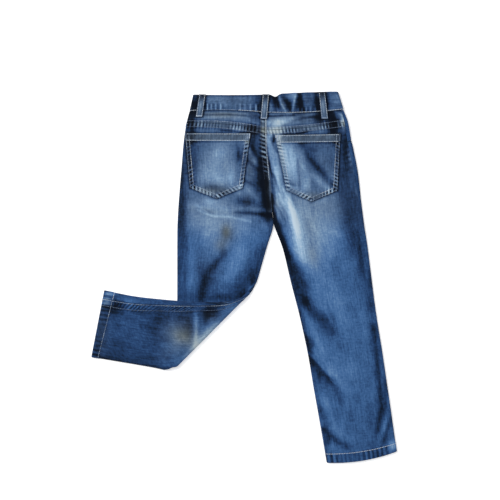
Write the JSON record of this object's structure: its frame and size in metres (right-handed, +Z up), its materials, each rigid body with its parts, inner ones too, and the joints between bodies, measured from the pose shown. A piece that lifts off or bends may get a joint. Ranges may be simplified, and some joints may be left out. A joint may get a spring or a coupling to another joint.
{
  "type": "child's skinny jeans, laid face down with one leg folded over",
  "caption": "Child's slim denim jeans lying flat on the front, one leg straight and the other folded over at the knee, with patch pockets, yoke, belt loops and a gathered waistband.",
  "frame": {"origin": "on the surface the jeans lie on, under the middle of their outline", "axes": "+Y points to the waist, +Z up from the surface, +X to the wearer's right, because the jeans lie on their front"},
  "size_m": [0.5662, 0.6876, 0.0132],
  "materials": {
    "denim": "washed mid-blue stretch denim with faded seat, thighs and knee",
    "metal": "aged, low-shine shank button"
  },
  "bodies": {
    "root": {"back_left": "denim", "back_right": "denim", "front_left": "denim", "front_right": "denim", "yoke_left": "denim", "yoke_right": "denim", "back_pocket_left": "denim", "back_pocket_right": "denim", "pocket_facing_left": "denim", "pocket_facing_right": "denim", "waistband": "denim", "belt_loop_back_left": "denim", "belt_loop_back_centre": "denim", "belt_loop_back_right": "denim", "belt_loop_front_left": "denim", "belt_loop_front_right": "denim", "waist_button": "metal"}
  },
  "joints": []
}
